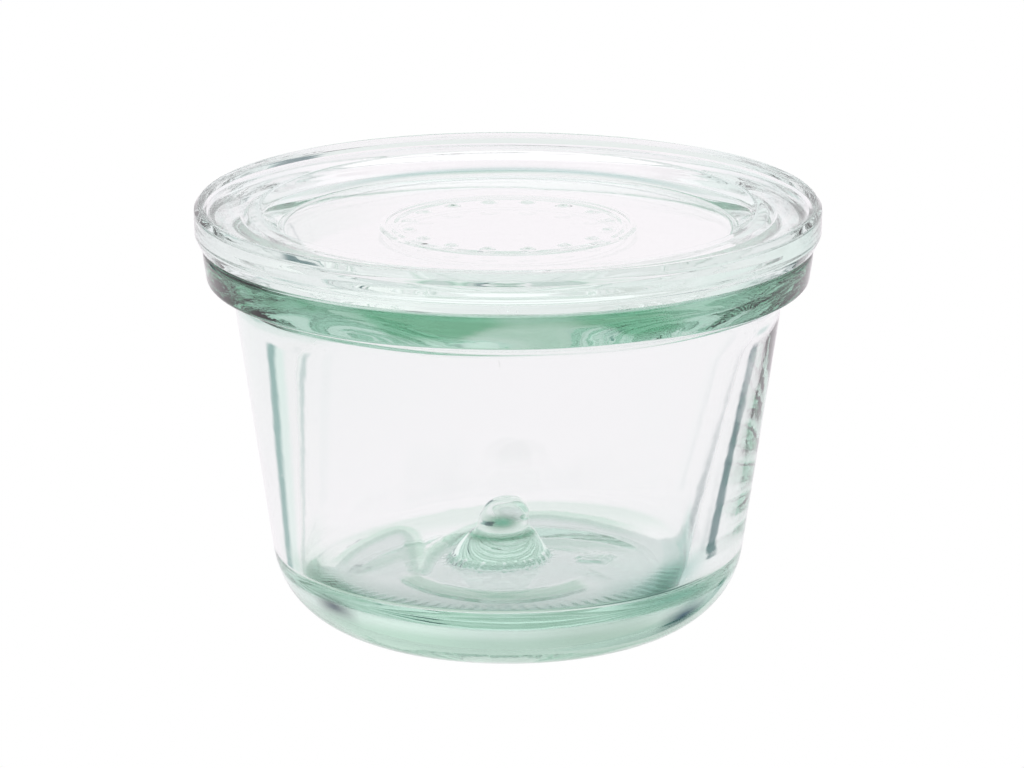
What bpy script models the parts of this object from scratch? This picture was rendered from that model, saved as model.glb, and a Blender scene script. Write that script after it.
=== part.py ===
"""A small tapered canning jar of clear green-tinged glass, with its loose glass lid on."""
import math

import bpy

MM = 0.001

# the outside of the jar
RIM_RADIUS = 42.9 * MM
RIM_TOP = 54.7 * MM
RIM_CREASE = 52.9 * MM
RIM_CREASE_INSET = 0.15 * MM
RIM_BOTTOM = 49.8 * MM
RIM_BOTTOM_INSET = 0.6 * MM
NECK_RADIUS = 38.8 * MM
NECK_HEIGHT = 48.9 * MM
WALL_TAPER = 0.141
HEEL_RADIUS = 12.4 * MM
HEEL_RISE = 2.0 * MM

# the flat ring that the jar stands on, round the hollow under the base
FOOT_OUTER_RADIUS = 22.9 * MM
FOOT_INNER_RADIUS = 19.0 * MM
HOLLOW_RADIUS = 17.0 * MM
HOLLOW_DEPTH = 2.2 * MM

# the inside of the jar
MOUTH_RADIUS = 38.0 * MM
SHOULDER_RADIUS = 32.2 * MM
SHOULDER_HEIGHT = 47.5 * MM
CAVITY_TAPER = 0.12
FLOOR_HEIGHT = 9.6 * MM
FLOOR_CORNER_RADIUS = 3.5 * MM

# the glass left standing in the middle of the floor, and the small bump beside it
NUB_HEIGHT = 8.9 * MM
NUB_TOP_RADIUS = 3.3 * MM
NUB_DOME_RADIUS = 3.0 * MM
NUB_SIDE_HEIGHT = 4.8 * MM
NUB_SIDE_RADIUS = 4.1 * MM
NUB_FOOT_RADIUS = 7.3 * MM
BUMP_PLACE = (12.4 * MM, -2.6 * MM)
BUMP_RADIUS = 2.1 * MM
BUMP_HEIGHT = 1.2 * MM

# the lid: a raised ring round a sunken panel, whose underside is a plug in the mouth
LID_RADIUS = 44.0 * MM
LID_GAP = 0.3 * MM
LID_EDGE_RADIUS = 43.1 * MM
LID_CREASE = 59.8 * MM
LID_SIDE_HEIGHT = 3.3 * MM
LID_SIDE_INSET = 0.05 * MM
LID_CREST_RADIUS = 43.3 * MM
LID_CREST = 60.8 * MM
RING_INNER_RADIUS = 34.8 * MM
RING_INNER_HEIGHT = 59.7 * MM
PANEL_RADIUS = 31.4 * MM
PANEL_TOP = 56.9 * MM
PLUG_RADIUS = 36.9 * MM
PLUG_TAPER = 1.8 * MM
PLUG_BOTTOM = 53.0 * MM

# the roundings of the edges
SHOULDER_ROUNDING = 2.0 * MM
NECK_ROUNDING = 1.2 * MM
SOFT_ROUNDING = 1.0 * MM
EDGE_ROUNDING = 0.8 * MM
MOUTH_ROUNDING = 0.6 * MM
CREST_ROUNDING = 0.5 * MM
SMALL_ROUNDING = 0.3 * MM

TURN_STEPS = 64
ARC_ERROR = 0.03 * MM
MERGE_DISTANCE = 0.00001


def rounded_outline(corners):
    """Turns (radius, height, corner radius) triples into points, with an arc at each rounded corner."""
    points = []
    for index, (x, z, radius) in enumerate(corners):
        if radius == 0.0:
            points.append((x, z))
            continue
        before = corners[index - 1]
        after = corners[index + 1]
        to_before = math.atan2(before[1] - z, before[0] - x)
        to_after = math.atan2(after[1] - z, after[0] - x)
        half_angle = abs((to_after - to_before + math.pi) % (2 * math.pi) - math.pi) / 2
        middle = math.atan2(
            math.sin(to_before) + math.sin(to_after), math.cos(to_before) + math.cos(to_after)
        )
        centre_distance = radius / math.sin(half_angle)
        centre_x = x + centre_distance * math.cos(middle)
        centre_z = z + centre_distance * math.sin(middle)
        sweep = math.pi - 2 * half_angle
        turn = math.sin(to_after - to_before)
        side = 1.0 if turn > 0 else -1.0
        first_angle = middle + math.pi + side * sweep / 2
        step_angle = 2 * math.acos(1 - ARC_ERROR / radius)
        steps = max(2, math.ceil(sweep / step_angle))
        for step in range(steps + 1):
            angle = first_angle - side * sweep * step / steps
            points.append((centre_x + radius * math.cos(angle), centre_z + radius * math.sin(angle)))
    return points


def turned(name, corners, collection):
    """Turns a closed outline about the Z axis. It starts and ends on the axis."""
    points = rounded_outline(corners)
    mesh = bpy.data.meshes.new(name)
    edges = [(index, index + 1) for index in range(len(points) - 1)]
    mesh.from_pydata([(x, 0.0, z) for x, z in points], edges, [])
    piece = bpy.data.objects.new(name, mesh)
    collection.objects.link(piece)
    screw = piece.modifiers.new("Turn", "SCREW")
    screw.axis = "Z"
    screw.steps = TURN_STEPS
    screw.render_steps = TURN_STEPS
    screw.use_merge_vertices = True
    screw.merge_threshold = MERGE_DISTANCE
    screw.use_smooth_shade = True
    return piece


def wall_radius(height):
    return NECK_RADIUS - WALL_TAPER * (NECK_HEIGHT - height)


def cavity_radius(height):
    return SHOULDER_RADIUS - CAVITY_TAPER * (SHOULDER_HEIGHT - height)


def jar_corners():
    nub_top = FLOOR_HEIGHT + NUB_HEIGHT
    inside = [
        (0.0, nub_top, 0.0),
        (NUB_TOP_RADIUS, nub_top, NUB_DOME_RADIUS),
        (NUB_SIDE_RADIUS, nub_top - NUB_SIDE_HEIGHT, 0.0),
        (NUB_FOOT_RADIUS, FLOOR_HEIGHT, 0.0),
        (cavity_radius(FLOOR_HEIGHT), FLOOR_HEIGHT, FLOOR_CORNER_RADIUS),
        (SHOULDER_RADIUS, SHOULDER_HEIGHT, SHOULDER_ROUNDING),
        (MOUTH_RADIUS, RIM_TOP, MOUTH_ROUNDING),
    ]
    outside = [
        (RIM_RADIUS, RIM_TOP, EDGE_ROUNDING),
        (RIM_RADIUS - RIM_CREASE_INSET, RIM_CREASE, 0.0),
        (RIM_RADIUS - RIM_BOTTOM_INSET, RIM_BOTTOM, EDGE_ROUNDING),
        (NECK_RADIUS, NECK_HEIGHT, NECK_ROUNDING),
        (wall_radius(HEEL_RISE), HEEL_RISE, HEEL_RADIUS),
        (FOOT_OUTER_RADIUS, 0.0, 0.0),
        (FOOT_INNER_RADIUS, 0.0, 0.0),
        (HOLLOW_RADIUS, HOLLOW_DEPTH, SOFT_ROUNDING),
        (0.0, HOLLOW_DEPTH, 0.0),
    ]
    return inside + outside


def lid_corners():
    underside = RIM_TOP + LID_GAP
    return [
        (0.0, PANEL_TOP, 0.0),
        (PANEL_RADIUS, PANEL_TOP, SOFT_ROUNDING),
        (RING_INNER_RADIUS, RING_INNER_HEIGHT, SOFT_ROUNDING),
        (LID_CREST_RADIUS, LID_CREST, CREST_ROUNDING),
        (LID_RADIUS, LID_CREASE, 0.0),
        (LID_RADIUS - LID_SIDE_INSET, LID_CREASE - LID_SIDE_HEIGHT, 0.0),
        (LID_EDGE_RADIUS, underside, SMALL_ROUNDING),
        (PLUG_RADIUS, underside, SMALL_ROUNDING),
        (PLUG_RADIUS - PLUG_TAPER, PLUG_BOTTOM, EDGE_ROUNDING),
        (0.0, PLUG_BOTTOM, 0.0),
    ]


def glass_material(name, colour):
    material = bpy.data.materials.new(name)
    material.use_nodes = True
    shader = material.node_tree.nodes["Principled BSDF"]
    shader.inputs["Base Color"].default_value = colour
    shader.inputs["Roughness"].default_value = 0.03
    shader.inputs["Metallic"].default_value = 0.0
    shader.inputs["Transmission Weight"].default_value = 1.0
    shader.inputs["IOR"].default_value = 1.52
    return material


def add_bump(jar, cutters):
    """A low round bump of glass on the floor, a drop left by the mould."""
    sphere_radius = (BUMP_RADIUS**2 + BUMP_HEIGHT**2) / (2 * BUMP_HEIGHT)
    bpy.ops.mesh.primitive_uv_sphere_add(
        segments=20,
        ring_count=12,
        radius=sphere_radius,
        location=(*BUMP_PLACE, FLOOR_HEIGHT + BUMP_HEIGHT - sphere_radius),
    )
    bump = bpy.context.active_object
    bump.name = "floor_bump"
    bump.hide_render = True
    bump.display_type = "WIRE"
    for owner in list(bump.users_collection):
        owner.objects.unlink(bump)
    cutters.objects.link(bump)
    join = jar.modifiers.new("Bump", "BOOLEAN")
    join.operation = "UNION"
    join.solver = "EXACT"
    join.object = bump


def main():
    for old in list(bpy.data.objects):
        bpy.data.objects.remove(old)

    parts = bpy.data.collections.new("canning_jar")
    cutters = bpy.data.collections.new("joined_shapes")
    bpy.context.scene.collection.children.link(parts)
    bpy.context.scene.collection.children.link(cutters)

    jar = turned("jar", jar_corners(), parts)
    add_bump(jar, cutters)
    jar.data.materials.append(glass_material("jar_glass", (0.80, 0.93, 0.88, 1.0)))

    lid = turned("lid", lid_corners(), parts)
    lid.data.materials.append(glass_material("lid_glass", (0.84, 0.95, 0.91, 1.0)))


main()
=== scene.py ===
import math

import bpy
import numpy as np
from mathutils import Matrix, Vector


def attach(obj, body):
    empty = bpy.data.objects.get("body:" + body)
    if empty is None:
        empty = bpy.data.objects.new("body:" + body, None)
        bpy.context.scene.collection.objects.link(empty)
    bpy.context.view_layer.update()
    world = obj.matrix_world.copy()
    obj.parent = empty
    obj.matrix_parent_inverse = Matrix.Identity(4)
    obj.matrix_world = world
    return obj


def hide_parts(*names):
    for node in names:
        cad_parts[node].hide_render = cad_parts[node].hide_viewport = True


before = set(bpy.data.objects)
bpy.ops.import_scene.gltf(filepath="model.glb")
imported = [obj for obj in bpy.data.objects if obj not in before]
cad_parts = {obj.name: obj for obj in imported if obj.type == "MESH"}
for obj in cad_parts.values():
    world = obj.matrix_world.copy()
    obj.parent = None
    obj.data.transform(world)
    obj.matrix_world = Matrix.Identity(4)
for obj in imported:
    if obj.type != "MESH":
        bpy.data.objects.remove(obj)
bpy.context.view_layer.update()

mm = 0.001
print("frame loaded")


# The camera stands where the photo was taken from, about 0.67 m away and a little above the lid
cameraSet = {
    "place": (0.00056, -0.64571, 0.21251),
    "target": (0.00056, 0.0, 0.03374),
    "lens": 166.6,
}


def addCamera(s):
    data = bpy.data.cameras.new("camera")
    data.lens = s["lens"]
    data.sensor_width = 36.0
    data.clip_start = 0.05
    data.clip_end = 20.0
    cam = bpy.data.objects.new("camera", data)
    cam.location = s["place"]
    aim = Vector(s["target"]) - Vector(s["place"])
    cam.rotation_euler = aim.to_track_quat("-Z", "Y").to_euler()
    bpy.context.scene.collection.objects.link(cam)
    bpy.context.scene.camera = cam


addCamera(cameraSet)
print("camera placed")


# Outlines are lists of (radius, height, fillet) in mm, from the axis round to the axis again
def roundedOutline(corners, arcDegrees=6.0):
    points = []
    for i, (x, z, radius) in enumerate(corners):
        if radius == 0.0:
            points.append((x, z))
            continue
        px, pz = corners[i - 1][:2]
        nx, nz = corners[i + 1][:2]
        toPrev = math.atan2(pz - z, px - x)
        toNext = math.atan2(nz - z, nx - x)
        half = abs((toNext - toPrev + math.pi) % (2 * math.pi) - math.pi) / 2
        mid = math.atan2(math.sin(toPrev) + math.sin(toNext), math.cos(toPrev) + math.cos(toNext))
        reach = radius / math.sin(half)
        cx = x + reach * math.cos(mid)
        cz = z + reach * math.sin(mid)
        sweep = math.pi - 2 * half
        side = 1.0 if math.sin(toNext - toPrev) > 0 else -1.0
        first = mid + math.pi + side * sweep / 2
        steps = max(3, round(math.degrees(sweep) / arcDegrees))
        for k in range(steps + 1):
            a = first - side * sweep * k / steps
            points.append((cx + radius * math.cos(a), cz + radius * math.sin(a)))
    return points


def denseOutline(points, step, fineStep=None, fineZone=None):
    dense = [points[0]]
    for (ax, az), (bx, bz) in zip(points, points[1:]):
        length = math.hypot(bx - ax, bz - az)
        fine = fineZone is not None and fineZone[0] <= (az + bz) / 2 <= fineZone[1]
        count = max(1, math.ceil(length / (fineStep if fine else step)))
        for k in range(1, count + 1):
            dense.append((ax + (bx - ax) * k / count, az + (bz - az) * k / count))
    return np.array(dense)


def turnedMesh(name, outline, rounds, warp):
    ring = outline[1:-1]
    rows = len(ring)
    turn = np.arange(rounds) * (2 * math.pi / rounds)
    x = np.outer(ring[:, 0], np.cos(turn))
    y = np.outer(ring[:, 0], np.sin(turn))
    z = np.outer(ring[:, 1], np.ones(rounds))
    points = np.stack([x, y, z], axis=-1).reshape(-1, 3)
    ends = np.array([[0, 0, outline[0][1]], [0, 0, outline[-1][1]]])
    points, tintAndShade = warp(np.vstack([points, ends]))
    faces = []
    for i in range(rows - 1):
        for j in range(rounds):
            k = (j + 1) % rounds
            faces.append((i * rounds + j, (i + 1) * rounds + j, (i + 1) * rounds + k, i * rounds + k))
    top = rows * rounds
    last = (rows - 1) * rounds
    for j in range(rounds):
        k = (j + 1) % rounds
        faces.append((top, j, k))
        faces.append((top + 1, last + k, last + j))
    mesh = bpy.data.meshes.new(name)
    mesh.from_pydata((points * mm).tolist(), [], faces)
    mesh.shade_smooth()
    # the colour and painted shade from the warp are stored on the points
    colour = np.hstack([tintAndShade, np.ones((len(tintAndShade), 1))])
    mesh.attributes.new("tintAndShade", "FLOAT_COLOR", "POINT").data.foreach_set("color", colour.ravel())
    piece = bpy.data.objects.new(name, mesh)
    bpy.context.scene.collection.objects.link(piece)
    print(name, "has", len(points), "points")
    return piece


def smoothStep(value, start, end):
    t = np.clip((value - start) / (end - start), 0, 1)
    return t * t * (3 - 2 * t)


def between(value, low, high, edge):
    return smoothStep(value, low - edge, low + edge) * (1 - smoothStep(value, high - edge, high + edge))


# Paints colour and painted shade into the glass: where the mask is 1, light that crosses the surface once takes the
# colour.
# The shader takes the root of its base colour for each crossing, hence the square
def paintTintAndShade(tintAndShade, mask, colour):
    tintAndShade *= 1 - mask[:, None] * (1 - np.array(colour) ** 2)


# A smooth curve through the given points, with six steps from each to the next
def smoothPath(path, steps=6):
    ends = [path[0]] + list(path) + [path[-1]]
    curve = []
    for (ax, ay), (bx, by), (cx, cy), (dx, dy) in zip(ends, ends[1:], ends[2:], ends[3:]):
        for k in range(steps):
            t = k / steps
            w = (-t + 2 * t**2 - t**3, 2 - 5 * t**2 + 3 * t**3, t + 4 * t**2 - 3 * t**3, -(t**2) + t**3)
            curve.append((np.dot(w, (ax, bx, cx, dx)) / 2, np.dot(w, (ay, by, cy, dy)) / 2))
    return curve + [path[-1]]


# Distance from a path and the length along it, for many points at once
def nearPath(x, y, path):
    nearest = np.full(len(x), 99.0)
    along = np.zeros(len(x))
    passed = 0.0
    for (ax, ay), (bx, by) in zip(path, path[1:]):
        ux, uy = bx - ax, by - ay
        length = math.hypot(ux, uy)
        t = np.clip(((x - ax) * ux + (y - ay) * uy) / length**2, 0, 1)
        away = np.hypot(x - ax - t * ux, y - ay - t * uy)
        closer = away < nearest
        nearest = np.where(closer, away, nearest)
        along = np.where(closer, passed + t * length, along)
        passed += length
    return nearest, along, passed


# Shared shader effects, each a group that gives a mask or a normal
def newGroup(name, inputs, outputs):
    kinds = {"float": "NodeSocketFloat", "vector": "NodeSocketVector"}
    group = bpy.data.node_groups.new(name, "ShaderNodeTree")
    for label, value in inputs:
        socket = group.interface.new_socket(name=label, in_out="INPUT", socket_type=kinds["float"])
        socket.default_value = value
    for label, kind in outputs:
        group.interface.new_socket(name=label, in_out="OUTPUT", socket_type=kinds[kind])
    come = group.nodes.new("NodeGroupInput")
    go = group.nodes.new("NodeGroupOutput")
    return group, come.outputs, go.inputs


def makeMaths(tree):
    def maths(operation, first, second=0.0):
        node = tree.nodes.new("ShaderNodeMath")
        node.operation = operation
        for socket, value in zip(node.inputs, (first, second)):
            if isinstance(value, float):
                socket.default_value = value
            else:
                tree.links.new(value, socket)
        return node.outputs[0]

    return maths


def makeRamp(tree):
    def ramp(value, start, end):
        node = tree.nodes.new("ShaderNodeMapRange")
        node.interpolation_type = "SMOOTHSTEP"
        for label, amount in (("Value", value), ("From Min", start), ("From Max", end)):
            if isinstance(amount, float):
                node.inputs[label].default_value = amount
            else:
                tree.links.new(amount, node.inputs[label])
        return node.outputs[0]

    return ramp


# Lays a plain colour over another one, where the factor is 1
def layOver(tree, factor, under, colour):
    node = tree.nodes.new("ShaderNodeMix")
    node.data_type = "RGBA"
    tree.links.new(factor, node.inputs["Factor"])
    tree.links.new(under, node.inputs[6])
    node.inputs[7].default_value = (*colour, 1.0)
    return node.outputs[2]


# Gives the camera's own rays one shader and all other rays another
def splitRays(tree, forCamera, forOthers, target):
    path = tree.nodes.new("ShaderNodeLightPath")
    mix = tree.nodes.new("ShaderNodeMixShader")
    tree.links.new(path.outputs["Is Camera Ray"], mix.inputs["Fac"])
    tree.links.new(forOthers, mix.inputs[1])
    tree.links.new(forCamera, mix.inputs[2])
    tree.links.new(mix.outputs[0], target)


# Slow waves and finer ripples, as pressed glass has
def makeUnevenness():
    group, come, go = newGroup(
        "glassUnevenness",
        [("Wave Scale", 60.0), ("Wave Depth", 0.0002), ("Ripple Scale", 400.0), ("Ripple Depth", 0.00002)],
        [("Normal", "vector")],
    )
    nodes, links = group.nodes, group.links
    coords = nodes.new("ShaderNodeTexCoord")
    normal = None
    for kind in ("Wave", "Ripple"):
        noise = nodes.new("ShaderNodeTexNoise")
        noise.inputs["Detail"].default_value = 1.0
        links.new(coords.outputs["Object"], noise.inputs["Vector"])
        links.new(come[kind + " Scale"], noise.inputs["Scale"])
        bump = nodes.new("ShaderNodeBump")
        links.new(noise.outputs[0], bump.inputs["Height"])
        links.new(come[kind + " Depth"], bump.inputs["Distance"])
        if normal is not None:
            links.new(normal, bump.inputs["Normal"])
        normal = bump.outputs["Normal"]
    links.new(normal, go["Normal"])
    return group


# Sparse hair scratches: noise stretched two ways and cut near its middle
def makeScuffs():
    group, come, go = newGroup("fineScuffs", [("Scale", 90.0), ("Width", 0.006), ("Amount", 0.5)], [("Mask", "float")])
    nodes, links = group.nodes, group.links
    maths = makeMaths(group)
    ramp = makeRamp(group)
    coords = nodes.new("ShaderNodeTexCoord")
    masks = []
    for stretch, turn in (((1.0, 6.0, 1.0), 0.4), ((5.0, 1.0, 2.0), 1.3)):
        place = nodes.new("ShaderNodeMapping")
        place.inputs["Scale"].default_value = stretch
        place.inputs["Rotation"].default_value = (0.3, turn, turn)
        links.new(coords.outputs["Object"], place.inputs["Vector"])
        noise = nodes.new("ShaderNodeTexNoise")
        noise.inputs["Detail"].default_value = 2.0
        links.new(place.outputs["Vector"], noise.inputs["Vector"])
        links.new(come["Scale"], noise.inputs["Scale"])
        away = maths("ABSOLUTE", maths("SUBTRACT", noise.outputs[0], 0.5))
        line = maths("SUBTRACT", 1.0, ramp(away, 0.0, come["Width"]))
        some = nodes.new("ShaderNodeTexNoise")
        some.inputs["Scale"].default_value = 55.0
        links.new(coords.outputs["Object"], some.inputs["Vector"])
        masks.append(maths("MULTIPLY", line, ramp(some.outputs[0], 0.58, 0.66)))
    links.new(maths("MULTIPLY", maths("MAXIMUM", masks[0], masks[1]), come["Amount"]), go["Mask"])
    return group


# Single grains of dust, most cells empty
def makeDust():
    group, come, go = newGroup("dustSpecks", [("Scale", 700.0), ("Size", 0.09), ("Share", 0.06)], [("Mask", "float")])
    nodes, links = group.nodes, group.links
    maths = makeMaths(group)
    ramp = makeRamp(group)
    coords = nodes.new("ShaderNodeTexCoord")
    cells = nodes.new("ShaderNodeTexVoronoi")
    links.new(coords.outputs["Object"], cells.inputs["Vector"])
    links.new(come["Scale"], cells.inputs["Scale"])
    split = nodes.new("ShaderNodeSeparateXYZ")
    links.new(cells.outputs["Color"], split.inputs[0])
    speck = maths("SUBTRACT", 1.0, ramp(cells.outputs["Distance"], 0.0, come["Size"]))
    chosen = maths("LESS_THAN", split.outputs["X"], come["Share"])
    links.new(maths("MULTIPLY", speck, chosen), go["Mask"])
    return group


# Faint patches where fingers have been
def makeSmudges():
    group, come, go = newGroup("faintSmudges", [("Scale", 45.0), ("Cover", 0.6)], [("Mask", "float")])
    nodes, links = group.nodes, group.links
    ramp = makeRamp(group)
    maths = makeMaths(group)
    coords = nodes.new("ShaderNodeTexCoord")
    noise = nodes.new("ShaderNodeTexNoise")
    noise.inputs["Detail"].default_value = 3.0
    links.new(coords.outputs["Object"], noise.inputs["Vector"])
    links.new(come["Scale"], noise.inputs["Scale"])
    start = maths("SUBTRACT", 1.0, come["Cover"])
    links.new(ramp(noise.outputs[0], start, maths("ADD", start, 0.25)), go["Mask"])
    return group


effects = {
    "unevenness": makeUnevenness(),
    "scuffs": makeScuffs(),
    "dust": makeDust(),
    "smudges": makeSmudges(),
}
print("shared effects made")


# Surface wear, which both glass pieces have alike
glassWear = {
    "scuffs": {"Scale": 80.0, "Width": 0.005, "Amount": 0.6},
    "smudges": {"Scale": 40.0, "Cover": 0.45},
    "dust": {"Scale": 650.0, "Size": 0.16, "Share": 0.02},
    "scuffRough": 0.08, "smudgeRough": 0.012, "dustRough": 0.3, "dustColour": (0.82, 0.83, 0.82),
}


def glassMaterial(name, s):
    material = bpy.data.materials.new(name)
    material.use_nodes = True
    tree = material.node_tree
    nodes, links = tree.nodes, tree.links
    maths = makeMaths(tree)

    def effect(kind, values):
        node = nodes.new("ShaderNodeGroup")
        node.node_tree = effects[kind]
        for label, value in values.items():
            node.inputs[label].default_value = value
        return node.outputs[0]

    shader = nodes["Principled BSDF"]
    shader.inputs["IOR"].default_value = 1.52
    shader.inputs["Transmission Weight"].default_value = 1.0
    links.new(effect("unevenness", s["unevenness"]), shader.inputs["Normal"])
    scuffs = effect("scuffs", s["scuffs"])
    smudges = effect("smudges", s["smudges"])
    dust = effect("dust", s["dust"])
    rough = maths("ADD", maths("MULTIPLY", scuffs, s["scuffRough"]), maths("MULTIPLY", smudges, s["smudgeRough"]))
    links.new(maths("ADD", rough, maths("MULTIPLY", dust, s["dustRough"])), shader.inputs["Roughness"])
    # the base colour is the mesh's stored colour with its painted shade, under the dust
    tintAndShade = nodes.new("ShaderNodeAttribute")
    tintAndShade.attribute_name = "tintAndShade"
    dustAndShade = layOver(tree, dust, tintAndShade.outputs["Color"], s["dustColour"])
    links.new(dustAndShade, shader.inputs["Base Color"])
    volume = nodes.new("ShaderNodeVolumeAbsorption")
    volume.inputs["Color"].default_value = (*s["absorb"], 1.0)
    volume.inputs["Density"].default_value = s["density"]
    links.new(volume.outputs["Volume"], nodes["Material Output"].inputs["Volume"])
    return material


# The jar: a pressed body with a thick rim, a nub in the middle of the floor and a hollow base.
# Lengths are in mm. Bearings are in degrees from +X towards +Y, so the front of the photo is at -90
jarSet = {
    "rimRadius": 42.85, "rimTop": 54.7, "rimCrease": 52.9, "rimBottom": 49.8,
    "neckRadius": 38.8, "neckHeight": 48.9, "wallTaper": 0.141, "heelRadius": 12.4, "heelRise": 2.0,
    "footOuter": 22.9, "footInner": 21.5, "hollowRadius": 12.0, "hollowDepth": 0.5,
    "mouthRadius": 38.0, "shoulderRadius": 32.2, "shoulderHeight": 47.5, "cavityTaper": 0.12,
    # the floor, its corner, and the share of the corner's rounding that is kept in front and at the back
    "floorHeight": 9.6, "floorCorner": 3.5, "frontCorner": 0.3, "backCorner": 0.5,
    # the nub: the radius of its top, and for neck and collar how much wider and lower than the top they are
    "nubHeight": 8.9, "nubTop": 3.3, "nubNeck": (0.3, 4.3), "nubCollar": (1.3, 5.2), "nubFoot": 7.3,
    # points round the jar, and the lengths of outline between them, finer at the floor
    "rounds": 480, "step": 0.8, "floorStep": 0.35,
    # the plunger stood a little askew: sideways offset of the hollow at leanFrom, and its growth with height
    "leanStart": -1.03, "leanRate": 0.08, "leanFrom": 10.0,
    # bulges of the inner wall: depth, count round the jar, height over which they turn, start
    "bulges": [(0.03, 3, 9.0, 0.0), (0.02, 5, -12.0, 1.0)],
    # shoulder waves: how many round, how deep, and the bearing of one of the low ones
    "shoulderWaves": 8, "shoulderDepth": 0.2, "shoulderTurn": -106.0,
    # swells of the floor: x, y, reach, rise
    "swells": [(4.0, 16.0, 8.0, 0.3), (20.0, 8.0, 6.0, 0.3), (14.0, -14.0, 6.0, -0.3), (-22.0, -8.0, 6.0, -0.3)],
    # folds in the floor, where two runs of glass met: a beaded one round the far side and a smooth one in front. Their
    # colour is painted shade along the ridge
    "folds": [
        {
            "path": [
                (-24.0, -2.8), (-22.0, 7.0), (-19.2, 13.5), (-16.4, 16.8), (-14.2, 13.5),
                (-12.9, 4.6), (-11.9, -5.5), (-11.0, 1.5), (-8.3, 9.5), (-4.0, 15.5),
                (1.7, 18.6), (7.4, 17.8), (13.1, 14.0), (18.0, 8.0), (22.5, 3.5),
            ],
            "width": 1.25, "fade": 9.0, "rise": 0.22, "beadGap": 1.8, "colour": (0.60, 0.83, 0.71),
        },
        {
            "path": [(-13.2, -6.0), (-12.6, -10.5), (-8.3, -16.5), (-1.1, -20.0), (6.0, -17.9), (11.4, -12.3)],
            "width": 1.2, "fade": 2.5, "rise": 0.3, "beadGap": 0.0, "colour": (0.42, 0.74, 0.56),
        },
    ],
    # the folds are this much narrower from left to right than from front to back, with a fine lip along both edges
    "foldSquash": 0.5, "foldStart": 2.5, "lipWidth": 0.3, "lipRise": 0.3,
    # the row of small beads along the front of the floor
    "beadRing": 24.4, "beads": 92, "beadWidth": 0.7, "beadRise": 0.22,
    # the low bump beside the nub, with its ragged raised edge, and the ragged foot of the nub
    "dropPlace": (12.4, -2.6), "dropRadius": 2.1, "dropRise": 0.4, "dropLip": 0.3, "dropLipWidth": 0.35,
    "raggedFoot": 0.12,
    # painted shade on the rim: colour, lower border, and places where it reaches lower: bearing, half width, how much
    "rimShadeColour": (0.41, 0.70, 0.54), "rimBorder": 53.1,
    "rimPatches": [(-104.3, 9.0, 2.3), (-63.0, 7.0, 2.1), (-140.0, 6.0, 1.2), (-25.0, 6.0, 1.0), (100.0, 20.0, 1.5)],
    # slanting places where the rim's painted shade is weaker: bearing at rimMiddle, half width, how much
    "rimShadeFades": [(-83.0, 7.0, 0.45), (-48.0, 11.0, 0.6), (-122.0, 6.0, 0.4), (-133.0, 4.0, 0.5)],
    "rimSlant": 1.5, "rimMiddle": 53.0,
    # the rim's painted shade is whole over these bearings, and half as strong at the back: first, last, edge.
    # At left and right of them it breaks up into streaks of painted shade
    "rimFront": (-141.0, -42.0, 10.0), "rimBack": (25.0, 155.0, 10.0), "rimStreaks": 33, "streakShare": 0.4,
    # soft streaks of painted shade low in the outer wall: path of (bearing, height), half width, colour
    "shadeStrokes": [
        {"path": [(-146.0, 7.6), (-137.0, 7.9), (-129.0, 7.4)], "width": 1.5, "colour": (0.06, 0.12, 0.20)},
        {"path": [(-50.0, 5.8), (-40.0, 6.2), (-31.0, 7.2)], "width": 1.9, "colour": (0.10, 0.15, 0.28)},
        {
            "path": [(-66.0, 9.0), (-50.0, 9.7), (-40.0, 9.8), (-22.0, 9.0)],
            "width": 1.4, "colour": (0.42, 0.64, 0.58),
        },
        {
            "path": [(-70.0, 11.9), (-57.0, 11.9), (-46.5, 12.9), (-38.5, 14.8), (-34.0, 18.0)],
            "width": 2.4, "colour": (0.56, 0.77, 0.72),
        },
        {
            "path": [(-162.0, 14.0), (-150.0, 12.3), (-140.0, 11.4), (-122.0, 11.4)],
            "width": 1.8, "colour": (0.72, 0.86, 0.79),
        },
    ],
    "strokeRadius": 34.0,
    # painted shade on the front of the heel, and painted grey shade on the floor this side of the far fold
    "heelShadeColour": (0.69, 0.80, 0.73), "floorShadeColour": (0.70, 0.765, 0.75),
    # painted shade along the floor's front edge, in its corner at the lower right of the photo, and in its corner at
    # the left, which is all
    # that sweepFree leaves out. Bearings: first, last, edge
    "edgeShadeColour": (0.82, 0.93, 0.87), "edgeSpan": (-150.0, -40.0, 14.0),
    "bootShadeColour": (0.52, 0.76, 0.70), "bootSpan": (-46.0, 4.0, 6.0),
    "sweepShadeColour": (0.93, 0.975, 0.95), "sweepFree": (-138.0, 165.0, 8.0),
    # painted shade in the nub's front: a green oval (x, depth under the top, half width, half height), and a ring
    # under it
    "nubShadeColour": (0.16, 0.46, 0.33), "nubOval": (-0.8, 2.8, 2.5, 1.2), "nubRing": (5.0, 0.5),
    "absorb": (0.50, 0.76, 0.65), "density": 13.0,
    "unevenness": {"Wave Scale": 55.0, "Wave Depth": 0.00007, "Ripple Scale": 420.0, "Ripple Depth": 0.000006},
    **glassWear,
}


def wallRadius(s, height):
    return s["neckRadius"] - s["wallTaper"] * (s["neckHeight"] - height)


def cavityRadius(s, height):
    return s["shoulderRadius"] - s["cavityTaper"] * (s["shoulderHeight"] - height)


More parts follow.
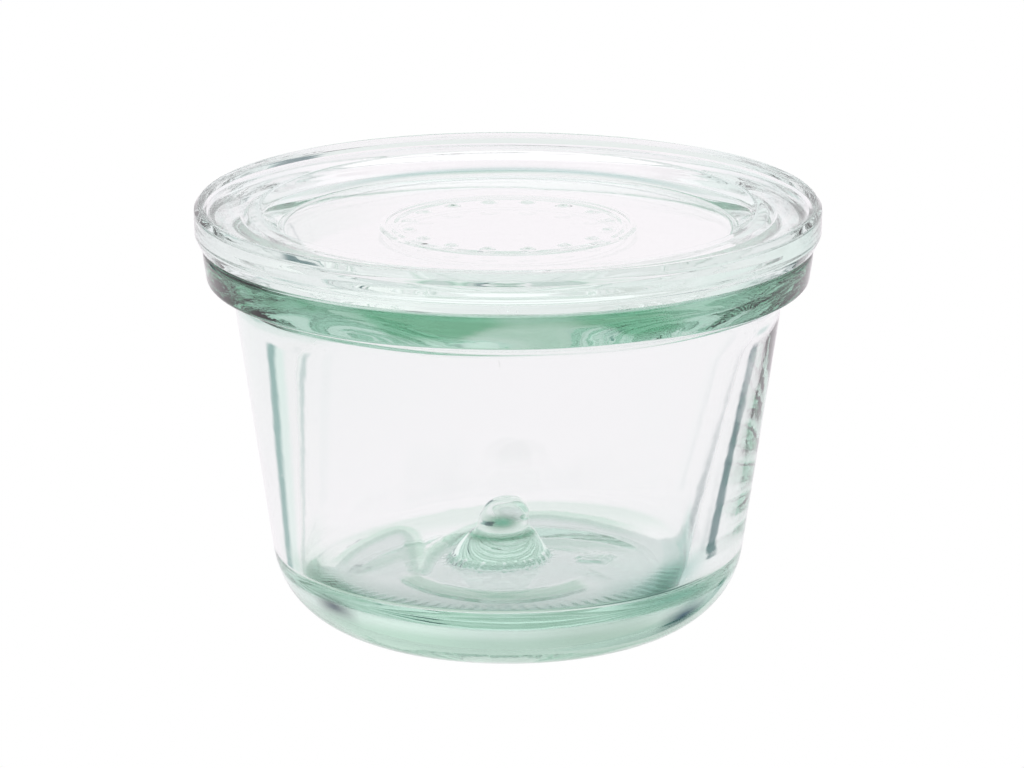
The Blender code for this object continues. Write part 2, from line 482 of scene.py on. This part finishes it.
def jarOutline(s):
    floor = s["floorHeight"]
    nubTop = floor + s["nubHeight"]
    neckOut, neckDown = s["nubNeck"]
    collarOut, collarDown = s["nubCollar"]
    corners = [
        (0.0, nubTop, 0.0),
        (s["nubTop"], nubTop, 3.0),
        (s["nubTop"] + neckOut, nubTop - neckDown, 0.8),
        (s["nubTop"] + collarOut, nubTop - collarDown, 0.5),
        (s["nubFoot"], floor, 0.5),
        (cavityRadius(s, floor), floor, s["floorCorner"]),
        (s["shoulderRadius"], s["shoulderHeight"], 2.0),
        (s["mouthRadius"], s["rimTop"], 0.6),
        (s["rimRadius"], s["rimTop"], 0.8),
        (s["rimRadius"] - 0.15, s["rimCrease"], 0.3),
        (s["rimRadius"] - 0.6, s["rimBottom"], 0.8),
        (s["neckRadius"], s["neckHeight"], 1.2),
        (wallRadius(s, s["heelRise"]), s["heelRise"], s["heelRadius"]),
        (s["footOuter"], 0.0, 0.3),
        (s["footInner"], 0.0, 0.3),
        (s["hollowRadius"], s["hollowDepth"], 1.0),
        (0.0, s["hollowDepth"], 0.0),
    ]
    return denseOutline(roundedOutline(corners), s["step"], s["floorStep"], (floor - 0.1, floor + 6.0))


# Where each point is on the plain turned jar, before anything moves it
def jarPlaces(p, s):
    r = np.hypot(p[:, 0], p[:, 1])
    turn = np.arctan2(p[:, 1], p[:, 0])
    z = p[:, 2]
    middle = (wallRadius(s, z) + cavityRadius(s, z)) / 2
    inside = (z > s["floorHeight"] - 0.1) & (r < middle) & (z < s["rimTop"] - 0.7)
    return {
        "r": r,
        "turn": turn,
        "degrees": np.degrees(turn),
        "inside": inside,
        "outside": ~inside & (r > s["hollowRadius"]) & (z < s["rimTop"] - 0.2),
        "onFloor": inside & (z < s["floorHeight"] + 5.0) & (r > s["nubFoot"] - 0.6),
    }


# 1 straight in front, -1 straight at the back
def facing(y, at):
    return -y / np.maximum(at["r"], 1.0)


# The floor's corner is sharpened, most of all in front
def shapeCorner(x, y, z, at, s):
    r, floor = at["r"], s["floorHeight"]
    corner = cavityRadius(s, floor)
    # a little more than the rounding takes up on each side
    reach = s["floorCorner"] * 0.94
    inCorner = at["inside"] & (r > corner - reach) & (z < floor + reach)
    kept = s["backCorner"] + (s["frontCorner"] - s["backCorner"]) * smoothStep(facing(y, at), -0.6, 0.5)
    shrink = np.where(inCorner, kept, 1.0)
    moved = corner + (r - corner) * shrink
    return x * moved / np.maximum(r, 1e-6), y * moved / np.maximum(r, 1e-6), floor + (z - floor) * shrink


# The inner wall bulges and leans, and the shoulder is wavy
def shapeWall(x, y, z, at, s):
    r, turn, inside = at["r"], at["turn"], at["inside"]
    fade = 1 - smoothStep(z, 44.0, 53.0)
    bulge = sum(depth * np.sin(count * turn + z / height + start) for depth, count, height, start in s["bulges"])
    grow = 1 + np.where(inside, bulge * smoothStep(r, 20.0, 26.0) * fade, 0.0) / np.maximum(r, 1.0)
    lean = s["leanStart"] + s["leanRate"] * (z - s["leanFrom"])
    wave = np.cos(s["shoulderWaves"] * (turn - math.radians(s["shoulderTurn"])))
    wave *= 0.75 + 0.25 * np.sin(2 * turn + 0.6)
    atShoulder = smoothStep(z, 41.0, 47.0) * (1 - smoothStep(z, 48.0, 53.0))
    x = x * grow + np.where(inside, lean * fade, 0.0)
    return x, y * grow, z - np.where(inside, s["shoulderDepth"] * wave * atShoulder, 0.0)


# Masks of each fold: its body, its lips and its painted shade
def foldMasks(x, y, z, at, s):
    flat = at["onFloor"] * (1 - smoothStep(z, s["floorHeight"] + 0.4, s["floorHeight"] + 1.5))
    masks = []
    for fold in s["folds"]:
        path = [(px, py * s["foldSquash"]) for px, py in smoothPath(fold["path"])]
        away, along, length = nearPath(x, y * s["foldSquash"], path)
        ends = smoothStep(along, 0.0, s["foldStart"]) * (1 - smoothStep(along, length - fold["fade"], length))
        ridge = np.exp(-(away / fold["width"]) ** 4) * ends * flat
        lip = np.exp(-((away - fold["width"]) / s["lipWidth"]) ** 2) * ends * flat
        if fold["beadGap"] > 0:
            lip *= 0.7 + 0.3 * np.cos(2 * math.pi * along / fold["beadGap"])
        # painted shade along the fold, a little stronger towards its edges
        colour = ridge * (0.7 + 0.3 * np.minimum(away / fold["width"], 1))
        masks.append({"ridge": ridge, "lip": lip, "colour": colour})
    return masks


# How much the floor rises: swells, folds, beads, the bump, and the nub's ragged foot
def floorRelief(x, y, masks, at, s):
    r, turn = at["r"], at["turn"]
    relief = np.zeros(len(x))
    for cx, cy, reach, rise in s["swells"]:
        relief += rise * np.exp(-((x - cx) ** 2 + (y - cy) ** 2) / reach ** 2)
    for fold, mask in zip(s["folds"], masks):
        relief += fold["rise"] * (mask["ridge"] + s["lipRise"] * mask["lip"])
    relief *= smoothStep(r, s["nubFoot"] - 0.5, s["nubFoot"] + 2.5)
    bead = np.maximum(np.cos(s["beads"] * turn), 0) * smoothStep(facing(y, at), 0.2, 0.6)
    relief += s["beadRise"] * bead * np.exp(-((r - s["beadRing"]) / s["beadWidth"]) ** 2)
    dx, dy = x - s["dropPlace"][0], y - s["dropPlace"][1]
    away = np.hypot(dx, dy)
    dropTurn = np.arctan2(dy, dx)
    edge = s["dropRadius"] + 0.22 * np.sin(5 * dropTurn + 1.0) + 0.14 * np.sin(9 * dropTurn)
    relief += s["dropRise"] * np.clip(1 - (away / edge) ** 4, 0, 1)
    relief += s["dropLip"] * np.exp(-((away - edge) / s["dropLipWidth"]) ** 2)
    foot = np.exp(-((r - s["nubFoot"] + 0.4) / 0.6) ** 2)
    ragged = np.sin(13 * turn + 0.7) + 0.8 * np.sin(29 * turn) + 0.7 * np.sin(43 * turn + 2.0)
    return np.where(at["onFloor"], relief + s["raggedFoot"] * foot * ragged, 0.0)


# Painted shade on the outside of the rim, above a wavy border, breaking into streaks at the sides
def paintRimShade(tintAndShade, z, at, s):
    turn, degrees = at["turn"], at["degrees"]
    border = s["rimBorder"] + 0.25 * np.sin(7 * turn) + 0.2 * np.sin(17 * turn + 1.0)
    for centre, half, down in s["rimPatches"]:
        border -= down * np.exp(-((degrees - centre) / half) ** 4)
    front = between(degrees, *s["rimFront"])
    back = between(degrees, *s["rimBack"])
    streaks = 0.5 + 0.5 * np.sin(s["rimStreaks"] * turn + 1.2 * z + 2 * np.sin(7 * turn))
    share = np.maximum(front, 0.5 * back)
    share += (1 - np.maximum(front, back)) * s["streakShare"] * smoothStep(streaks, 0.35, 0.75)
    slanted = degrees + s["rimSlant"] * (z - s["rimMiddle"])
    for centre, half, paler in s["rimShadeFades"]:
        share *= 1 - paler * np.exp(-((slanted - centre) / half) ** 4)
    onRim = at["outside"] & (z > s["neckHeight"]) & (at["r"] > s["mouthRadius"] + 2)
    paintTintAndShade(tintAndShade, onRim * smoothStep(z, border - 0.5, border + 0.5) * share, s["rimShadeColour"])


# Painted shade on the front of the heel, and soft streaks of painted shade along the outer wall
def paintHeelShade(tintAndShade, y, z, at, s):
    onHeel = at["outside"] * (at["r"] > s["footOuter"]) * smoothStep(facing(y, at), -0.1, 0.3)
    paintTintAndShade(tintAndShade, onHeel * (1 - smoothStep(z, 5.5, 8.0)), s["heelShadeColour"])
    for stroke in s["shadeStrokes"]:
        path = [(math.radians(bearing) * s["strokeRadius"], height) for bearing, height in smoothPath(stroke["path"])]
        away, along, length = nearPath(at["turn"] * s["strokeRadius"], z, path)
        fade = np.sin(math.pi * along / length)
        paintTintAndShade(tintAndShade, at["outside"] * fade * np.exp(-((away / stroke["width"]) ** 2)), stroke["colour"])


# Painted shade: along the folds, grey over the floor this side of the far fold, green along the floor's edge, and in
# the floor's corner
def paintFloorShade(tintAndShade, x, y, z, masks, at, s):
    r, degrees, floor = at["r"], at["degrees"], s["floorHeight"]
    corner = cavityRadius(s, floor)
    for fold, mask in zip(s["folds"], masks):
        paintTintAndShade(tintAndShade, mask["colour"], fold["colour"])
    farSide = np.interp(x, *np.array(smoothPath(s["folds"][0]["path"])).T)
    low = at["onFloor"] * (1 - smoothStep(z, floor + 1.0, floor + 2.0))
    paintTintAndShade(tintAndShade, low * smoothStep(farSide - y, -0.5, 1.0), s["floorShadeColour"])
    atEdge = at["onFloor"] * (r > corner - 1.6) * (1 - smoothStep(z, floor + 0.6, floor + 1.4))
    paintTintAndShade(tintAndShade, atEdge * between(degrees, *s["edgeSpan"]), s["edgeShadeColour"])
    atCorner = at["inside"] * smoothStep(r, corner - 4.2, corner - 2.4) * (1 - smoothStep(z, floor + 3.0, floor + 7.0))
    paintTintAndShade(tintAndShade, atCorner * between(degrees, *s["bootSpan"]), s["bootShadeColour"])
    paintTintAndShade(tintAndShade, atCorner * (1 - between(degrees, *s["sweepFree"])), s["sweepShadeColour"])


# Painted shade on the front of the nub: the oval and the ring under it
def paintNubShade(tintAndShade, x, y, z, at, s):
    onFront = at["inside"] & (at["r"] < s["nubFoot"] - 1.5) & (y < 0)
    under = s["floorHeight"] + s["nubHeight"] - z
    ovalX, ovalDepth, halfWidth, halfHeight = s["nubOval"]
    oval = ((x - ovalX) / halfWidth) ** 2 + ((under - ovalDepth) / halfHeight) ** 2
    paintTintAndShade(tintAndShade, onFront * np.exp(-oval ** 2), s["nubShadeColour"])
    ringDepth, ringWidth = s["nubRing"]
    paintTintAndShade(tintAndShade, onFront * np.exp(-((under - ringDepth) / ringWidth) ** 2), s["nubShadeColour"])


def warpJar(p, s=jarSet):
    at = jarPlaces(p, s)
    x, y, z = shapeCorner(p[:, 0], p[:, 1], p[:, 2], at, s)
    x, y, z = shapeWall(x, y, z, at, s)
    masks = foldMasks(x, y, z, at, s)
    z = z + floorRelief(x, y, masks, at, s)
    tintAndShade = np.ones((len(p), 3))
    paintRimShade(tintAndShade, z, at, s)
    paintHeelShade(tintAndShade, y, z, at, s)
    paintFloorShade(tintAndShade, x, y, z, masks, at, s)
    paintNubShade(tintAndShade, x, y, z, at, s)
    return np.stack([x, y, z], axis=-1), tintAndShade


jar = turnedMesh("jarBody", jarOutline(jarSet), jarSet["rounds"], warpJar)
jar.data.materials.append(glassMaterial("jarGlass", jarSet))
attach(jar, "root")
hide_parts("jar")
print("jar made")


# The lid: a raised ring round a sunken panel. The embossed mark of the photo's lid is replaced by a plain bead ring
lidSet = {
    "radius": 43.9, "underside": 55.0, "edgeRadius": 43.1, "crease": 59.8, "crestRadius": 43.2, "crest": 60.72,
    "sideInset": 0.05, "sideHeight": 3.3,
    "ringInner": 34.8, "ringInnerHeight": 59.7, "panelRadius": 31.4, "panelTop": 56.9,
    "plugRadius": 36.0, "plugSpread": 0.9, "plugBottom": 53.0,
    "rounds": 300, "step": 0.4,
    "relief": 0.22, "beads": 16, "beadRing": 14.2, "beadSize": 0.75, "beadRise": 1.2,
    "hoops": (16.2, 17.4), "hoopWidth": 0.35,
    # the mould seam down the front, and the fine lines of the turned mould round the side: depth, pace, start
    "seamTurn": -90.2, "seamWidth": 0.35, "seamRise": 0.09,
    "lines": [(0.018, 7.0, 0.0), (0.012, 11.0, 1.0)],
    # how wavy the ring's top is
    "ringWave": 0.05,
    "absorb": (0.50, 0.76, 0.65), "density": 4.5, "paleColour": (0.995, 0.998, 0.997),
    # fine rings of painted shade on the far side of the top: radius, half width, colour. Their bearings: first, last,
    # edge
    "farShadeRings": [(32.1, 0.35, (0.60, 0.76, 0.74)), (28.4, 0.25, (0.86, 0.88, 0.90)), (37.5, 0.5, (0.93, 0.96, 0.96))],
    "farSpan": (35.0, 140.0, 25.0),
    # painted shade on the ring at left and right. In front and at the back it stays clear: first, last, edge
    "sideShadeColour": (0.93, 0.98, 0.975), "sideFree": (35.0, 145.0, 20.0),
    "unevenness": {"Wave Scale": 60.0, "Wave Depth": 0.00003, "Ripple Scale": 420.0, "Ripple Depth": 0.000002},
    **glassWear,
}


def lidOutline(s):
    corners = [
        (0.0, s["panelTop"], 0.0),
        (s["panelRadius"], s["panelTop"], 1.0),
        (s["ringInner"], s["ringInnerHeight"], 1.0),
        (s["crestRadius"], s["crest"], 0.5),
        (s["radius"], s["crease"], 0.3),
        (s["radius"] - s["sideInset"], s["crease"] - s["sideHeight"], 0.4),
        (s["edgeRadius"] + 0.1, s["underside"] + 0.15, 0.2),
        (s["edgeRadius"] - 0.5, s["underside"], 0.3),
        (s["plugRadius"] + s["plugSpread"], s["underside"], 0.3),
        (s["plugRadius"] - s["plugSpread"], s["plugBottom"], 0.8),
        (0.0, s["plugBottom"], 0.0),
    ]
    return denseOutline(roundedOutline(corners), s["step"])


# The bead ring between its two hoops, in the middle of the panel
def panelRelief(r, turn, z, s):
    onPanel = (z > s["panelTop"] - 0.1) & (r < s["panelRadius"] - 1.0)
    relief = np.zeros(len(r))
    for hoop in s["hoops"]:
        relief += np.exp(-((r - hoop) / s["hoopWidth"]) ** 2)
    gap = 2 * math.pi / s["beads"]
    across = (np.mod(turn, gap) - gap / 2) * s["beadRing"]
    relief += s["beadRise"] * np.exp(-((r - s["beadRing"]) ** 2 + across ** 2) / s["beadSize"] ** 2)
    return np.where(onPanel, s["relief"] * relief, 0.0)


# How much the seam and the lines widen the side
def sideRelief(r, turn, z, s):
    onSide = (r > s["edgeRadius"]) & (z > s["underside"] + 0.8) & (z < s["crease"])
    off = (turn - math.radians(s["seamTurn"])) * s["radius"]
    seam = s["seamRise"] * np.exp(-(off / s["seamWidth"]) ** 2)
    lines = sum(depth * np.sin(z * pace + start) for depth, pace, start in s["lines"])
    return np.where(onSide, seam + lines, 0.0)


# An even pale colour over the whole lid, with painted shade in fine rings on the far top and on the ring at left and
# right
def paintLidTintAndShade(tintAndShade, r, turn, z, s):
    degrees = np.degrees(turn)
    paintTintAndShade(tintAndShade, np.ones(len(r)), s["paleColour"])
    onFarTop = (z > s["panelTop"] - 0.4) * between(degrees, *s["farSpan"])
    for ringRadius, half, colour in s["farShadeRings"]:
        paintTintAndShade(tintAndShade, onFarTop * np.exp(-((r - ringRadius) / half) ** 2), colour)
    onRing = (z > s["underside"] + 0.3) * (r > s["panelRadius"])
    atSides = 1 - between(np.abs(degrees), *s["sideFree"])
    paintTintAndShade(tintAndShade, onRing * atSides * (0.6 + 0.4 * np.sin(r * 3.1)), s["sideShadeColour"])


def warpLid(p, s=lidSet):
    x, y, z = p.T
    r = np.hypot(x, y)
    turn = np.arctan2(y, x)
    z = z + panelRelief(r, turn, z, s)
    grow = 1 + sideRelief(r, turn, z, s) / np.maximum(r, 1.0)
    onRing = (z > s["ringInnerHeight"] - 0.6) & (r < s["crestRadius"])
    wave = np.sin(3 * turn + 0.8) * np.sin((r - 34.0) * 0.9)
    z = z + np.where(onRing, s["ringWave"] * wave, 0.0)
    tintAndShade = np.ones((len(p), 3))
    paintLidTintAndShade(tintAndShade, r, turn, z, s)
    return np.stack([x * grow, y * grow, z], axis=-1), tintAndShade


lid = turnedMesh("lidPlate", lidOutline(lidSet), lidSet["rounds"], warpLid)
lid.data.materials.append(glassMaterial("lidGlass", lidSet))
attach(lid, "root")
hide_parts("lid")
print("lid made")


# White paper under a bright tent. The cards stand where the glass sees darker or lighter parts of the room,
# each at a bearing from straight behind the jar and at heights over the horizon, all in degrees
stageSet = {
    # the paper is just under the jar's foot; both in m
    "floorReach": 3.0, "floorTop": -0.0002,
    # the colour of the room where no card stands
    "around": (0.985, 0.937, 0.972),
    # name, bearing, half width, low, high, edge, colour
    "cards": [
        ("overhead light", 0.0, 200.0, 52.0, 95.0, 12.0, (1.20, 1.16, 1.19)),
        ("shade under the jar", 0.0, 200.0, -95.0, -40.0, 8.0, (0.80, 0.85, 0.83)),
        ("grey side of the room", -72.0, 30.0, -2.0, 42.0, 10.0, (0.90, 0.93, 0.93)),
        ("grey side near the table", -56.0, 15.0, -36.0, 0.0, 4.0, (0.97, 0.92, 0.95)),
        ("dim back left", -20.0, 12.0, 12.0, 36.0, 8.0, (0.80, 0.80, 0.80)),
        ("bright back right", 22.0, 12.0, 3.0, 34.0, 9.0, (1.10, 1.08, 1.09)),
        # the left card ends at the horizon, and the right ones are lower
        ("left card's soft edge", -43.0, 6.0, -12.0, 2.0, 3.0, (0.80, 0.89, 0.87)),
        ("left card", -37.0, 3.5, -12.0, 0.0, 2.5, (0.22, 0.40, 0.38)),
        ("shade on the right", 45.0, 16.0, -72.0, -35.0, 4.0, (0.28, 0.46, 0.43)),
        ("right card", 32.5, 5.0, -50.0, -25.5, 2.0, (0.05, 0.14, 0.16)),
        ("right card's top", 38.0, 7.0, -14.0, -4.0, 4.0, (0.60, 0.71, 0.70)),
        ("right card, foot", 36.0, 8.0, -60.0, -31.0, 3.0, (0.05, 0.13, 0.15)),
    ],
}


def makeCardMask():
    labels = ("Bearing", "Height", "Centre", "Half Width", "Low", "High", "Edge")
    group, come, go = newGroup("cardMask", [(label, 0.0) for label in labels], [("Mask", "float")])
    maths = makeMaths(group)
    ramp = makeRamp(group)
    away = maths("ABSOLUTE", maths("SUBTRACT", come["Bearing"], come["Centre"]))
    half, edge = come["Half Width"], come["Edge"]
    inside = ramp(away, maths("ADD", half, edge), maths("SUBTRACT", half, edge))
    aboveLow = ramp(come["Height"], maths("SUBTRACT", come["Low"], edge), maths("ADD", come["Low"], edge))
    belowHigh = ramp(come["Height"], maths("ADD", come["High"], edge), maths("SUBTRACT", come["High"], edge))
    group.links.new(maths("MULTIPLY", inside, maths("MULTIPLY", aboveLow, belowHigh)), go["Mask"])
    return group


def addFloor(s):
    place = (0, 0, s["floorTop"])
    bpy.ops.mesh.primitive_circle_add(vertices=96, radius=s["floorReach"], fill_type="NGON", location=place)
    floor = bpy.context.active_object
    floor.name = "floor"
    material = bpy.data.materials.new("floorPaper")
    material.use_nodes = True
    tree = material.node_tree
    nodes = tree.nodes
    nodes.remove(nodes["Principled BSDF"])
    paper = nodes.new("ShaderNodeEmission")
    clear = nodes.new("ShaderNodeBsdfTransparent")
    splitRays(tree, paper.outputs[0], clear.outputs[0], nodes["Material Output"].inputs["Surface"])
    floor.data.materials.append(material)


def addWorld(s):
    world = bpy.data.worlds.new("studio")
    bpy.context.scene.world = world
    world.use_nodes = True
    tree = world.node_tree
    nodes, links = tree.nodes, tree.links
    maths = makeMaths(tree)
    coords = nodes.new("ShaderNodeTexCoord")
    split = nodes.new("ShaderNodeSeparateXYZ")
    links.new(coords.outputs["Generated"], split.inputs[0])
    toDegrees = 180.0 / math.pi
    bearing = maths("MULTIPLY", maths("ARCTAN2", split.outputs["X"], split.outputs["Y"]), toDegrees)
    height = maths("MULTIPLY", maths("ARCSINE", split.outputs["Z"]), toDegrees)
    cardMask = makeCardMask()
    base = nodes.new("ShaderNodeRGB")
    base.outputs[0].default_value = (*s["around"], 1.0)
    seen = base.outputs[0]
    for name, centre, half, low, high, edge, colour in s["cards"]:
        mask = nodes.new("ShaderNodeGroup")
        mask.label = name
        mask.node_tree = cardMask
        links.new(bearing, mask.inputs["Bearing"])
        links.new(height, mask.inputs["Height"])
        for label, value in (("Centre", centre), ("Half Width", half), ("Low", low), ("High", high), ("Edge", edge)):
            mask.inputs[label].default_value = value
        seen = layOver(tree, mask.outputs["Mask"], seen, colour)
    room = nodes.new("ShaderNodeBackground")
    links.new(seen, room.inputs["Color"])
    white = nodes["Background"]
    white.inputs["Color"].default_value = (1, 1, 1, 1)
    splitRays(tree, white.outputs[0], room.outputs[0], nodes["World Output"].inputs["Surface"])


addFloor(stageSet)
addWorld(stageSet)
scene = bpy.context.scene
scene.view_settings.view_transform = "Standard"
scene.view_settings.look = "None"
scene.cycles.max_bounces = 32
scene.cycles.transmission_bounces = 32
scene.cycles.glossy_bounces = 16
scene.cycles.transparent_max_bounces = 16
print("stage lit")
